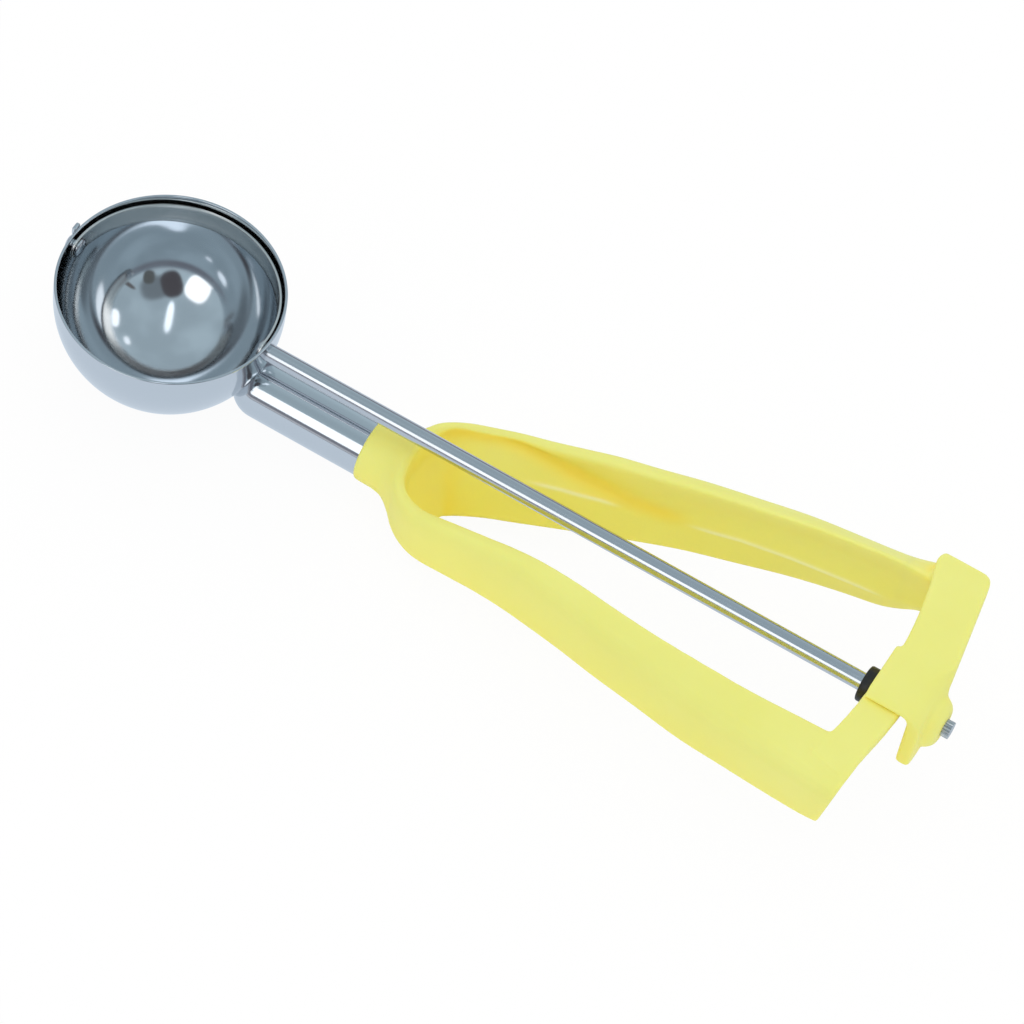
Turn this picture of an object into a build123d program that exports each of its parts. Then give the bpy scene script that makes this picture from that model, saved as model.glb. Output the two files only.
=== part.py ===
"""Lever ice cream scoop: a squeeze-handle disher with a geared scraper blade.

Millimetres.  The origin is the centre of the bowl's sphere, on the axis of the blade rod.
+X runs along the rod from the bowl to the handle's rear, +Z points out of the bowl's mouth,
and +Y points to the back arm, the one that carries the gear housing.
"""
import os
from collections import namedtuple
from math import acos, cos, degrees, pi, radians, sin, sqrt, tan

from build123d import *

os.makedirs("parts", exist_ok=True)

# ---------------------------------------------------------------- driving dimensions
# Bowl: a hemisphere with a short straight skirt up to the rim.
BOWL_INNER_DIAMETER = 54.2
BOWL_WALL = 0.7
SKIRT_HEIGHT = 3.8

# Blade rod, which spins the scraper blade.
ROD_DIAMETER = 4.5
SPIGOT_DIAMETER = 2.4
RUNNING_FIT = 0.05
GAP = 0.3

# Scraper blade, a half ring of strip steel that rests under the rim on the +Y side.
BLADE_WIDTH = 6.0
BLADE_THICKNESS = 0.6
BLADE_CLEARANCE = 0.5
BLADE_REST_DROOP = 3.0
RIVET_DIAMETER = 2.8
RIVET_HEAD_DIAMETER = 4.8
RIVET_HEAD_THICKNESS = 0.9
OUTER_HEAD_THICKNESS = 1.2
RIVET_ROUND = 0.6

# Shank tube, brazed to the side of the bowl below the rod.
TUBE_DIAMETER = 15.2
TUBE_WALL = 0.8
TUBE_DROP = 14.9
TUBE_END_X = 68.0

# Handle collar and crotch.
COLLAR_FRONT_X = 57.5
COLLAR_WALL = 0.7
SPIGOT_FRONT_X = 60.0
CROTCH_INNER_X = 69.3
CROTCH_TOP_Z = -5.6
CROTCH_BOTTOM_Z = -24.6
CROTCH_OUTLINE = [(68.4, 8.7), (71.1, 12.1), (75.1, 15.2), (80.9, 17.0), (86.3, 16.8)]
CROTCH_INNER = [(86.3, 13.4), (80.0, 13.3), (76.2, 12.5), (73.2, 10.8), (70.9, 7.9), (69.6, 3.6)]
SPLIT_X = 77.0
SPLIT_Y = -5.0

# Gusset that closes the bottom of the crotch, sloping down to the rear.
GUSSET_FRONT_X = 68.6
GUSSET_TOP_Z = -13.2
GUSSET_LENGTH = 10.8
GUSSET_NEAR_Y = -4.2
GUSSET_FAR_Y = 8.0

# Squeeze hinge: the front arm flexes about an upright axis inside the crotch.
HINGE_X = 75.0
ARM_SPREAD = 1.8

FRONT_END_SETBACK = 1.3
BACK_END_SETBACK = 8.4

# Rack and pinion.
GEAR_MODULE = 0.75
PINION_TEETH = 12
PRESSURE_ANGLE = 20.0
TOOTH_BACKLASH = 0.22
ROOT_CLEARANCE = 0.19
PINION_FRONT_X = 194.9
PINION_WIDTH = 4.5
TONGUE_FRONT_RAIL = 2.0
TONGUE_WEB = 1.95
TONGUE_REAR_RAIL = 2.2
TONGUE_ROOT_ANGLE = -12.2
TONGUE_TIP_ANGLE = 3.2
RACK_FIRST_GAP = -9
RACK_TEETH = 12

# Gear housing on the back arm's rear end.  ARM_REACH is a size beyond the whole handle.
ARM_REACH = 260.0
LEVER_REACH = 30.0
COVER_THICKNESS = 2.2
COVER_CLEARANCE = 0.4
COVER_SETBACK = 1.6
COVER_OVERHANG = 5.7
HOUSING_NEAR_Y = -8.5
HOUSING_FAR_Y = 36.5
BOX_FAR_Y = 7.6
FRONT_WALL = 1.7
FRONT_WALL_NEAR_Y = -6.5
SIDE_WALL = 1.8
REAR_WALL = 3.8
REAR_WALL_BOTTOM_Z = -11.0
FRONT_WALL_BOTTOM_Z = -8.0
BOSS_DIAMETER = 11.8
BOSS_LENGTH = 3.7
SKIRT_DEPTH = 6.4
SKIRT_THICKNESS = 2.0
BOSS_ROUND = 1.6
CORNER_ROUND = 3.0

# Zinc pinion sleeve behind the teeth: shoulder, journal and serrated tail.
SHOULDER_DIAMETER = 5.4
JOURNAL_SETBACK = 0.2
TAIL_DIAMETER = 4.3
TAIL_LENGTH = 2.0
SERRATIONS = 16
SERRATION_DEPTH = 0.22
REAR_SPIGOT_LENGTH = 11.1

# Black thrust ring on the rod, in front of the housing.
RING_DIAMETER = 9.0
RING_WIDTH = 2.9

# ---------------------------------------------------------------- derived sizes
bowl_inner_radius = BOWL_INNER_DIAMETER / 2
bowl_outer_radius = bowl_inner_radius + BOWL_WALL
rod_radius = ROD_DIAMETER / 2
spigot_radius = SPIGOT_DIAMETER / 2
rod_bore_radius = rod_radius + RUNNING_FIT
blade_outer_radius = bowl_inner_radius - BLADE_CLEARANCE
blade_inner_radius = blade_outer_radius - BLADE_THICKNESS
tube_radius = TUBE_DIAMETER / 2
collar_radius = tube_radius + COLLAR_WALL
tube_inner_radius = tube_radius - TUBE_WALL
tube_z = -TUBE_DROP
tube_front_x = bowl_outer_radius
rivet_radius = RIVET_DIAMETER / 2
rivet_head_radius = RIVET_HEAD_DIAMETER / 2
pitch_radius = GEAR_MODULE * PINION_TEETH / 2
tip_radius = pitch_radius + GEAR_MODULE
root_radius = pitch_radius - GEAR_MODULE - ROOT_CLEARANCE
pinion_rear_x = PINION_FRONT_X + PINION_WIDTH
journal_radius = rod_radius
rack_root_z = tip_radius + ROOT_CLEARANCE
tongue_top_z = rack_root_z + TONGUE_WEB
tongue_bottom_z = pitch_radius - GEAR_MODULE
cover_bottom_z = tongue_top_z + COVER_CLEARANCE
cover_top_z = cover_bottom_z + COVER_THICKNESS
wall_top_z = tongue_bottom_z - GAP
rail_front_outer_radius = PINION_FRONT_X - GAP - HINGE_X
tongue_inner_radius = rail_front_outer_radius - TONGUE_FRONT_RAIL
rail_rear_inner_radius = pinion_rear_x + GAP - HINGE_X
tongue_outer_radius = rail_rear_inner_radius + TONGUE_REAR_RAIL
housing_inner_radius = tongue_inner_radius + COVER_SETBACK
housing_outer_radius = tongue_outer_radius + COVER_OVERHANG
housing_front_x = PINION_FRONT_X - FRONT_WALL - 2 * GAP
housing_rear_x = HINGE_X + sqrt(housing_outer_radius**2 - BOX_FAR_Y**2)
rear_wall_x = housing_rear_x - REAR_WALL
boss_end_x = housing_rear_x + BOSS_LENGTH
journal_end_x = boss_end_x - JOURNAL_SETBACK
tail_end_x = journal_end_x + TAIL_LENGTH
rear_spigot_end_x = PINION_FRONT_X + REAR_SPIGOT_LENGTH
front_end_x = HINGE_X + tongue_outer_radius - FRONT_END_SETBACK
back_end_x = housing_rear_x - BACK_END_SETBACK
mesh_radius = PINION_FRONT_X + PINION_WIDTH / 2 - HINGE_X
tooth_pitch = pi * GEAR_MODULE
rack_pitch_angle = degrees(tooth_pitch / mesh_radius)
cover_span = HOUSING_FAR_Y - BOX_FAR_Y
box_length = housing_rear_x - housing_front_x
box_span = BOX_FAR_Y - HOUSING_NEAR_Y
boss_radius = BOSS_DIAMETER / 2
tail_radius = TAIL_DIAMETER / 2
ring_rear_x = housing_front_x - 2 * RUNNING_FIT
inner_head_x = blade_inner_radius - GAP
base_radius = pitch_radius * cos(radians(PRESSURE_ANGLE))

# Arm sections.  Both arms are mirror images before they are spread.  Each section lies in a
# plane across X and has five corners: inner top, inner ridge, inner foot, outer foot, shoulder.
Section = namedtuple("Section", "x inner top ridge ridge_z foot outer bottom shoulder shoulder_z")
BACK_SECTIONS = [
    Section(76.0, 11.9, -6.9, 5.4, -13.6, -3.2, 15.2, -24.5, 16.6, -7.7),
    Section(88.0, 13.7, -4.0, 7.4, -12.6, 1.8, 17.2, -23.4, 18.2, -3.9),
    Section(104.0, 14.9, 0.8, 10.2, -10.2, 7.4, 18.8, -21.9, 20.1, 0.2),
    Section(122.0, 17.4, 4.1, 14.3, -8.8, 13.8, 22.6, -20.2, 23.7, 1.7),
    Section(145.0, 21.3, 6.0, 19.5, -9.2, 20.3, 28.0, -18.2, 28.7, 2.0),
    Section(170.0, 24.0, 8.4, 24.3, -10.9, 25.4, 32.8, -15.8, 32.3, 2.0),
    Section(186.0, 25.2, 9.3, 25.3, -10.2, 26.6, 34.6, -12.4, 33.8, 1.7),
    Section(back_end_x, 25.8, 9.4, 26.0, -6.0, 27.0, 35.4, -7.6, 34.4, 1.2),
]
FRONT_SECTIONS = [
    Section(84.0, 13.1, -5.0, 10.8, -12.9, 9.0, 16.6, -23.8, 17.8, -5.3),
    Section(100.0, 14.5, -0.6, 11.3, -11.0, 10.0, 18.2, -22.3, 19.4, -1.2),
    Section(120.0, 17.0, 3.9, 14.6, -9.0, 14.5, 22.1, -20.4, 23.2, 1.7),
    Section(145.0, 21.3, 6.0, 19.5, -9.2, 20.3, 28.0, -18.2, 28.7, 2.0),
    Section(170.0, 23.6, 7.2, 24.0, -10.9, 25.4, 32.8, -15.8, 33.4, 3.2),
    Section(185.0, 23.5, 7.3, 24.4, -10.7, 26.4, 34.8, -14.6, 36.6, 5.4),
    Section(front_end_x + GAP, 23.5, tongue_top_z, 24.6, -10.6, 27.0, 35.6, -13.6, 38.4, 6.4),
]
EDGE_ROUND = 1.2
FRONT_END_LEAN = 4.2


def spread(x):
    """Sideways shift that the rest spread of the arms gives at a place along X."""
    return (x - HINGE_X) * tan(radians(ARM_SPREAD))


def front_end_at(z):
    """Where the front arm's leaning rear end lies along X at a height."""
    lean = FRONT_END_LEAN / (tongue_top_z - FRONT_SECTIONS[-1].bottom)
    return front_end_x + (z - tongue_top_z) * lean


def arm_solid(sections, side):
    """One arm, lofted through its sections.  side is +1 for the back arm, -1 for the front."""
    with BuildPart() as arm:
        for row in sections:
            corners = [
                (side * row.inner, row.top),
                (side * row.ridge, row.ridge_z),
                (side * row.foot, row.bottom),
                (side * row.outer, row.bottom),
                (side * row.shoulder, row.shoulder_z),
            ]
            with BuildSketch(Plane.YZ.offset(row.x)) as profile:
                with Locations((spread(row.x), 0)):
                    Polygon(*corners, align=None)
                by_height = profile.vertices().sort_by(Axis.Y)
                fillet(by_height[:2] + by_height[4:], EDGE_ROUND)
        loft()
    return arm.part


FROM_BASE = (Align.CENTER, Align.CENTER, Align.MIN)


def x_cylinder(radius, start, end, mode=Mode.ADD, z=0.0):
    """A round bar along X, inside the part that is being built."""
    with Locations(Location((start, 0, z), (0, 90, 0))):
        Cylinder(radius, end - start, align=FROM_BASE, mode=mode)


def block(x_range, y_range, z_range, mode=Mode.ADD):
    """A block between two corners, inside the part that is being built."""
    size = [high - low for low, high in (x_range, y_range, z_range)]
    centre = [(high + low) / 2 for low, high in (x_range, y_range, z_range)]
    with Locations(tuple(centre)):
        Box(*size, mode=mode)


# ---------------------------------------------------------------- bowl
with BuildPart() as bowl:
    with BuildSketch(Plane.XZ):
        with BuildLine():
            Line((bowl_outer_radius, SKIRT_HEIGHT), (bowl_outer_radius, 0))
            CenterArc((0, 0), bowl_outer_radius, 0, -90)
            Line((0, -bowl_outer_radius), (0, -bowl_inner_radius))
            CenterArc((0, 0), bowl_inner_radius, 0, -90)
            Line((bowl_inner_radius, 0), (bowl_inner_radius, SKIRT_HEIGHT))
            Line((bowl_inner_radius, SKIRT_HEIGHT), (bowl_outer_radius, SKIRT_HEIGHT))
        make_face()
    revolve(axis=Axis.Z)
    x_cylinder(rod_bore_radius, blade_inner_radius, bowl_outer_radius + BOWL_WALL, Mode.SUBTRACT)
    x_cylinder(rivet_radius, -bowl_outer_radius - BOWL_WALL, -blade_inner_radius, Mode.SUBTRACT)
bowl.part.label = "bowl"
export_step(bowl.part, "parts/bowl.step")


# ---------------------------------------------------------------- shank tube
tube_axis = Axis((0, 0, tube_z), (1, 0, 0))
tube_plane = Plane(tube_axis.position, x_dir=(1, 0, 0), z_dir=(0, -1, 0))

with BuildPart() as shank_tube:
    with BuildSketch(tube_plane):
        with BuildLine():
            Line((tube_front_x - tube_radius, 0), (tube_front_x - tube_inner_radius, 0))
            CenterArc((tube_front_x, 0), tube_inner_radius, 180, -90)
            Line((tube_front_x, tube_inner_radius), (TUBE_END_X, tube_inner_radius))
            Line((TUBE_END_X, tube_inner_radius), (TUBE_END_X, tube_radius))
            Line((TUBE_END_X, tube_radius), (tube_front_x, tube_radius))
            CenterArc((tube_front_x, 0), tube_radius, 90, 90)
        make_face()
    revolve(axis=tube_axis)
    with Locations(Location((0, 0, 0), (0, 0, 180))):
        Sphere(bowl_outer_radius, mode=Mode.SUBTRACT)
shank_tube.part.label = "shank_tube"
export_step(shank_tube.part, "parts/shank_tube.step")


# ---------------------------------------------------------------- handle
def crotch_block():
    """The forked root of the handle: a U in plan, symmetric about the rod."""
    with BuildPart() as crotch:
        with BuildSketch(Plane.XY.offset(CROTCH_BOTTOM_Z)):
            with BuildLine():
                far_side = CROTCH_OUTLINE
                near_side = [(x, -y) for x, y in CROTCH_OUTLINE]
                far_inner = CROTCH_INNER
                near_inner = [(x, -y) for x, y in reversed(CROTCH_INNER)]
                Polyline(near_side[0], far_side[0])
                Spline(*far_side)
                Line(far_side[-1], far_inner[0])
                Spline(*far_inner, (CROTCH_INNER_X, 0), *near_inner)
                Line(near_inner[-1], near_side[-1])
                Spline(*reversed(near_side))
            make_face()
        extrude(amount=CROTCH_TOP_Z - CROTCH_BOTTOM_Z)
    return crotch.part


with BuildPart() as gusset:
    with BuildSketch(Plane.XZ.offset(-GUSSET_FAR_Y)):
        Polygon(
            (GUSSET_FRONT_X, GUSSET_TOP_Z),
            (GUSSET_FRONT_X + GUSSET_LENGTH, CROTCH_BOTTOM_Z),
            (GUSSET_FRONT_X, CROTCH_BOTTOM_Z),
            align=None,
        )
    extrude(amount=GUSSET_FAR_Y - GUSSET_NEAR_Y)


back_arm_loft = arm_solid(BACK_SECTIONS, 1)
front_arm_loft = arm_solid(FRONT_SECTIONS, -1)
crotch = crotch_block()


with BuildPart() as cover:
    with BuildSketch(Plane.XY.offset(cover_bottom_z)):
        with Locations((HINGE_X, 0)):
            Circle(housing_outer_radius)
            Circle(housing_inner_radius, mode=Mode.SUBTRACT)
        with Locations((HINGE_X, BOX_FAR_Y)):
            Rectangle(ARM_REACH, cover_span, align=Align.MIN, mode=Mode.INTERSECT)
        with Locations((housing_front_x, HOUSING_NEAR_Y)):
            Rectangle(box_length, box_span, align=Align.MIN)
    extrude(amount=COVER_THICKNESS)


with BuildPart() as handle_back_arm:
    x_cylinder(collar_radius, COLLAR_FRONT_X, CROTCH_INNER_X, z=tube_z)
    add(crotch)
    block((SPLIT_X, ARM_REACH), (-ARM_REACH, SPLIT_Y), (-ARM_REACH, 0), Mode.SUBTRACT)
    add(gusset.part)
    add(back_arm_loft)
    x_cylinder(tube_radius + RUNNING_FIT, COLLAR_FRONT_X, TUBE_END_X, Mode.SUBTRACT, z=tube_z)
    x_cylinder(tube_inner_radius - RUNNING_FIT, SPIGOT_FRONT_X, TUBE_END_X, z=tube_z)
    add(cover.part, mode=Mode.SUBTRACT)
handle_back_arm.part.label = "handle_back_arm"
export_step(handle_back_arm.part, "parts/handle_back_arm.step")


def ring_sector(inner, outer, bottom, top):
    """A flat sector about the squeeze hinge, between two radii and two heights."""
    with BuildPart() as sector:
        with BuildSketch(Plane.XY.offset(bottom)):
            with Locations((HINGE_X, 0)):
                Circle(outer)
                Circle(inner, mode=Mode.SUBTRACT)
            with BuildLine(mode=Mode.PRIVATE) as edges:
                Polyline(
                    (HINGE_X, 0),
                    hinge_point(ARM_REACH, TONGUE_ROOT_ANGLE),
                    hinge_point(ARM_REACH, TONGUE_TIP_ANGLE),
                    close=True,
                )
            make_face(edges.edges(), mode=Mode.INTERSECT)
        extrude(amount=top - bottom)
    return sector.part


def hinge_point(radius, angle):
    """A plan point at a radius and an angle about the squeeze hinge."""
    return (HINGE_X + radius * cos(radians(angle)), radius * sin(radians(angle)))


def rack_tooth(angle):
    """One radial rack tooth that hangs from the tongue's web at an angle about the hinge."""
    half_pitch_line = (tooth_pitch - TOOTH_BACKLASH) / 4
    slope = tan(radians(PRESSURE_ANGLE))
    half_tip = half_pitch_line - GEAR_MODULE * slope
    half_root = half_pitch_line + (rack_root_z - pitch_radius) * slope
    with BuildPart() as tooth:
        with BuildSketch(Plane.YZ.offset(rail_front_outer_radius - GAP)):
            Polygon(
                (-half_tip, pitch_radius - GEAR_MODULE),
                (half_tip, pitch_radius - GEAR_MODULE),
                (half_root, rack_root_z),
                (-half_root, rack_root_z),
                align=None,
            )
        extrude(amount=rail_rear_inner_radius - rail_front_outer_radius + 2 * GAP)
    return tooth.part.rotate(Axis.Z, angle).translate((HINGE_X, 0, 0))


tongue_parts = [
    ring_sector(tongue_inner_radius, tongue_outer_radius, rack_root_z, tongue_top_z),
    ring_sector(tongue_inner_radius, rail_front_outer_radius, tongue_bottom_z, tongue_top_z),
    ring_sector(rail_rear_inner_radius, tongue_outer_radius, tongue_bottom_z, tongue_top_z),
]
tooth_angles = [(RACK_FIRST_GAP + 0.5 + i) * rack_pitch_angle for i in range(RACK_TEETH)]
rack_teeth = [rack_tooth(angle) for angle in tooth_angles]

with BuildPart() as handle_front_arm:
    add(crotch)
    block((0, SPLIT_X + GAP), (-ARM_REACH, ARM_REACH), (-ARM_REACH, 0), Mode.SUBTRACT)
    block((0, ARM_REACH), (SPLIT_Y - GAP, ARM_REACH), (-ARM_REACH, 0), Mode.SUBTRACT)
    add(front_arm_loft)
    with BuildSketch(Plane.XZ.offset(-ARM_REACH / 2)):
        Polygon(
            (front_end_at(-LEVER_REACH), -LEVER_REACH),
            (front_end_at(LEVER_REACH), LEVER_REACH),
            (ARM_REACH, LEVER_REACH),
            (ARM_REACH, -LEVER_REACH),
            align=None,
        )
    extrude(amount=ARM_REACH, mode=Mode.SUBTRACT)
    for piece in tongue_parts + rack_teeth:
        add(piece)
handle_front_arm.part.label = "handle_front_arm"
export_step(handle_front_arm.part, "parts/handle_front_arm.step")


# ---------------------------------------------------------------- gear housing
with BuildPart() as gear_housing:
    add(cover.part)
    with BuildSketch(Plane.YZ.offset(rear_wall_x)):
        with BuildLine():
            FilletPolyline(
                (HOUSING_NEAR_Y, cover_bottom_z),
                (HOUSING_NEAR_Y, REAR_WALL_BOTTOM_Z),
                (BOX_FAR_Y, REAR_WALL_BOTTOM_Z),
                (BOX_FAR_Y, cover_bottom_z),
                radius=CORNER_ROUND,
            )
            Line((BOX_FAR_Y, cover_bottom_z), (HOUSING_NEAR_Y, cover_bottom_z))
        make_face()
    extrude(amount=housing_rear_x - rear_wall_x)
    block(
        (housing_front_x, rear_wall_x),
        (BOX_FAR_Y - SIDE_WALL, BOX_FAR_Y),
        (FRONT_WALL_BOTTOM_Z, wall_top_z),
    )
    block(
        (housing_front_x, housing_front_x + FRONT_WALL),
        (FRONT_WALL_NEAR_Y, BOX_FAR_Y - SIDE_WALL),
        (FRONT_WALL_BOTTOM_Z, wall_top_z),
    )
    with BuildSketch(Plane.XY.offset(cover_top_z - SKIRT_DEPTH)):
        with Locations((HINGE_X, 0)):
            Circle(housing_outer_radius)
            Circle(housing_outer_radius - SKIRT_THICKNESS, mode=Mode.SUBTRACT)
        with Locations((HINGE_X, BOX_FAR_Y)):
            Rectangle(ARM_REACH, cover_span, align=Align.MIN, mode=Mode.INTERSECT)
    extrude(amount=SKIRT_DEPTH - COVER_THICKNESS)
    with BuildSketch(Plane.XZ):
        with BuildLine():
            Line((housing_rear_x, 0), (boss_end_x, 0))
            Line((boss_end_x, 0), (boss_end_x, boss_radius - BOSS_ROUND))
            CenterArc((boss_end_x - BOSS_ROUND, boss_radius - BOSS_ROUND), BOSS_ROUND, 0, 90)
            Line((boss_end_x - BOSS_ROUND, boss_radius), (housing_rear_x, boss_radius))
            Line((housing_rear_x, boss_radius), (housing_rear_x, 0))
        make_face()
    revolve(axis=Axis.X)
    x_cylinder(rod_bore_radius, housing_front_x, boss_end_x, Mode.SUBTRACT)
gear_housing.part.label = "gear_housing"
export_step(gear_housing.part, "parts/gear_housing.step")


# ---------------------------------------------------------------- rod and what turns with it
blade_hole_x = sqrt(blade_inner_radius**2 - rivet_head_radius**2)
rod_front_x = blade_outer_radius + RUNNING_FIT

with BuildPart() as rod:
    x_cylinder(rod_radius, rod_front_x, PINION_FRONT_X)
    x_cylinder(spigot_radius, blade_hole_x - RIVET_HEAD_THICKNESS + RUNNING_FIT, rod_front_x)
    x_cylinder(spigot_radius, PINION_FRONT_X, rear_spigot_end_x)
rod.part.label = "rod"
export_step(rod.part, "parts/rod.step")


def involute(radius):
    """Angle in radians from an involute's foot on the base circle to a radius."""
    if radius <= base_radius:
        return 0.0
    pressure = acos(base_radius / radius)
    return tan(pressure) - pressure


def tooth_corner(radius, side):
    """A point on one flank of the pinion tooth that points along local +Y."""
    half = pi / (2 * PINION_TEETH) - TOOTH_BACKLASH / (4 * pitch_radius)
    half += involute(pitch_radius) - involute(radius)
    return (side * radius * sin(half), radius * cos(half))


flank_radii = [root_radius - GAP, base_radius, pitch_radius, (pitch_radius + tip_radius) / 2, tip_radius]
tooth_outline = [tooth_corner(r, 1) for r in flank_radii]
tooth_outline += [tooth_corner(r, -1) for r in reversed(flank_radii)]

with BuildPart() as pinion:
    with BuildSketch(Plane.YZ.offset(PINION_FRONT_X)):
        Circle(root_radius)
        with PolarLocations(0, PINION_TEETH):
            Polygon(*tooth_outline, align=None)
    extrude(amount=PINION_WIDTH)
    x_cylinder(SHOULDER_DIAMETER / 2, pinion_rear_x, rear_wall_x - GAP)
    x_cylinder(journal_radius, rear_wall_x - GAP, journal_end_x)
    with BuildSketch(Plane.YZ.offset(journal_end_x)):
        Circle(tail_radius)
        with PolarLocations(tail_radius, SERRATIONS):
            RegularPolygon(SERRATION_DEPTH, 4, mode=Mode.SUBTRACT)
    extrude(amount=tail_end_x - journal_end_x)
    x_cylinder(spigot_radius, PINION_FRONT_X, rear_spigot_end_x, Mode.SUBTRACT)
pinion.part.label = "pinion"
export_step(pinion.part, "parts/pinion.step")


with BuildPart() as thrust_ring:
    x_cylinder(RING_DIAMETER / 2, ring_rear_x - RING_WIDTH, ring_rear_x)
    x_cylinder(rod_radius, ring_rear_x - RING_WIDTH, ring_rear_x, Mode.SUBTRACT)
thrust_ring.part.label = "thrust_ring"
export_step(thrust_ring.part, "parts/thrust_ring.step")


# ---------------------------------------------------------------- scraper blade
droop_plane = Plane.XY.rotated((-BLADE_REST_DROOP, 0, 0))
with BuildPart() as blade:
    Sphere(blade_outer_radius)
    Sphere(blade_inner_radius, mode=Mode.SUBTRACT)
    with Locations(droop_plane):
        with Locations((0, -BLADE_WIDTH / 2)):
            Box(
                BOWL_INNER_DIAMETER,
                BOWL_INNER_DIAMETER,
                BLADE_WIDTH,
                align=(Align.CENTER, Align.MIN, Align.CENTER),
                mode=Mode.INTERSECT,
            )
    x_cylinder(spigot_radius, 0, bowl_inner_radius, Mode.SUBTRACT)
    x_cylinder(rivet_radius + RUNNING_FIT, -bowl_inner_radius, 0, Mode.SUBTRACT)
blade.part.label = "blade"
export_step(blade.part, "parts/blade.step")


with BuildPart() as blade_rivet:
    x_cylinder(rivet_head_radius, blade_hole_x - RIVET_HEAD_THICKNESS, blade_hole_x)
    fillet(blade_rivet.edges().group_by(Axis.X)[0], RIVET_ROUND)
    x_cylinder(spigot_radius, blade_hole_x - RIVET_HEAD_THICKNESS, blade_hole_x, Mode.SUBTRACT)
blade_rivet.part.label = "blade_rivet"
export_step(blade_rivet.part, "parts/blade_rivet.step")


with BuildPart() as pivot_rivet:
    x_cylinder(rivet_head_radius, -bowl_outer_radius - OUTER_HEAD_THICKNESS, -bowl_outer_radius)
    fillet(pivot_rivet.edges().group_by(Axis.X)[0], RIVET_ROUND)
    x_cylinder(rivet_radius, -bowl_outer_radius, -inner_head_x)
    x_cylinder(rivet_head_radius, -inner_head_x, RIVET_HEAD_THICKNESS - inner_head_x)
    fillet(pivot_rivet.edges().group_by(Axis.X)[-1], RIVET_ROUND)
pivot_rivet.part.label = "pivot_rivet"
export_step(pivot_rivet.part, "parts/pivot_rivet.step")
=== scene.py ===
"""Dressed model of the lever ice cream scoop, with its studio and camera.

Shapes are written in millimetres, in the frame of the CAD model: the origin is the centre of the
bowl's sphere, +X runs along the rod to the handle's rear, +Z points out of the bowl's mouth, and
+Y points to the back arm, which carries the gear housing.
"""
import math
from collections import namedtuple

import bmesh
import bpy
import numpy as np
from mathutils import Matrix, Vector


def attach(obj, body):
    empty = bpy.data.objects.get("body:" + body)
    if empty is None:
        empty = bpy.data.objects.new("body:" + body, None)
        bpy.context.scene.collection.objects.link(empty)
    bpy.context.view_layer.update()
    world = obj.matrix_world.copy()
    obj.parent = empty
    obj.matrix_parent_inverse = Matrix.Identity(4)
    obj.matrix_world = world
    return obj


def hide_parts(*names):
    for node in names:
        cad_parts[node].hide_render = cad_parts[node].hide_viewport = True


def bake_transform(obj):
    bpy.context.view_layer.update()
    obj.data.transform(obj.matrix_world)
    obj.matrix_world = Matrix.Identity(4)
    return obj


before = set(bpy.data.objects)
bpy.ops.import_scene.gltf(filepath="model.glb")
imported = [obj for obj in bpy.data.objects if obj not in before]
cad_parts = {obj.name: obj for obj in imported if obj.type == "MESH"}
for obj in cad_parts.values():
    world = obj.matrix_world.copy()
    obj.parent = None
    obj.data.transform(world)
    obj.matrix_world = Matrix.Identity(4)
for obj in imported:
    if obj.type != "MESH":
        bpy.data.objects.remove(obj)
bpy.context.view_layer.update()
MM = 0.001

# ------------------------------------------------------------------ sizes
# Handle: both arms spread from the hinge that the front arm swings about.
HINGE_X = 75.0
SPREAD = math.tan(math.radians(1.8))
SEAM_X = 184.0
VOXEL = 0.4
SOFTENING_PASSES = 16

# Collar over the tube: rows of x, half width, half height and squareness of its section.
COLLAR_ROWS = [
    (57.5, 8.05, 8.05, 2.0),
    (57.8, 8.25, 8.25, 2.0),
    (59.0, 8.3, 8.3, 2.0),
    (62.5, 8.35, 8.35, 2.0),
    (65.0, 8.5, 8.6, 2.2),
    (67.0, 9.3, 9.05, 2.8),
    (68.7, 10.5, 9.3, 3.8),
]

# Tongue: a curved web with a rail at each edge and the rack's teeth between the rails.
TONGUE_TOP = 7.39
WEB_BOTTOM = 5.44
RAIL_BOTTOM = 3.75
TONGUE_INNER_RADIUS = 117.6
FRONT_RAIL_RADIUS = 119.6
REAR_RAIL_RADIUS = 124.7
TONGUE_OUTER_RADIUS = 126.9
TONGUE_ANGLES = (-13.6, 3.2)

# Rack teeth, of the pinion's module.
MODULE = 0.75
PITCH_RADIUS = 4.5
MESH_RADIUS = 122.15
BACKLASH = 0.22
FLANK_SLOPE = math.tan(math.radians(20.0))
TOOTH_PITCH = math.pi * MODULE
RACK_TEETH = 12
RACK_FIRST_GAP = -9
TOOTH_OVERLAP = 0.3
TOOTH_TOP = 5.6

# Valley and mould lines pressed into the back arm's inner face.
VALLEY_WIDTH, VALLEY_DEPTH, VALLEY_FADE = 2.1, 0.35, 9.0
LINE_WIDTH, LINE_HEIGHT = 0.5, 0.28
FRONT_LINE_FADE, REAR_LINE_FADE = 7.0, 8.0
INWARD = 0.35

# Gear housing.
COVER_BOTTOM = 7.79
COVER_TOP = 9.985
COVER_INNER_RADIUS = 119.2
COVER_NEAR_Y, COVER_CURVE_END_Y = 4.0, 34.0
COVER_CURVE_POINTS = 12
HOUSING_FAR_Y = 36.5
SHOULDER_Y = 9.5
BOX_FRONT_X = 192.6
BOX_REAR_X = 208.0
BOX_FAR_Y = 7.4
WALL_BOTTOM, WALL_TOP = -8.0, 3.45
REAR_WALL_BOTTOM = -11.0
REAR_WALL_TOP = 4.0
SKIRT_BOTTOM = 3.6
SKIRT_THICKNESS = 2.0
SKIRT_NEAR_Y = 10.0
BAR_EDGE_RADIUS = 1.2
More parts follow.
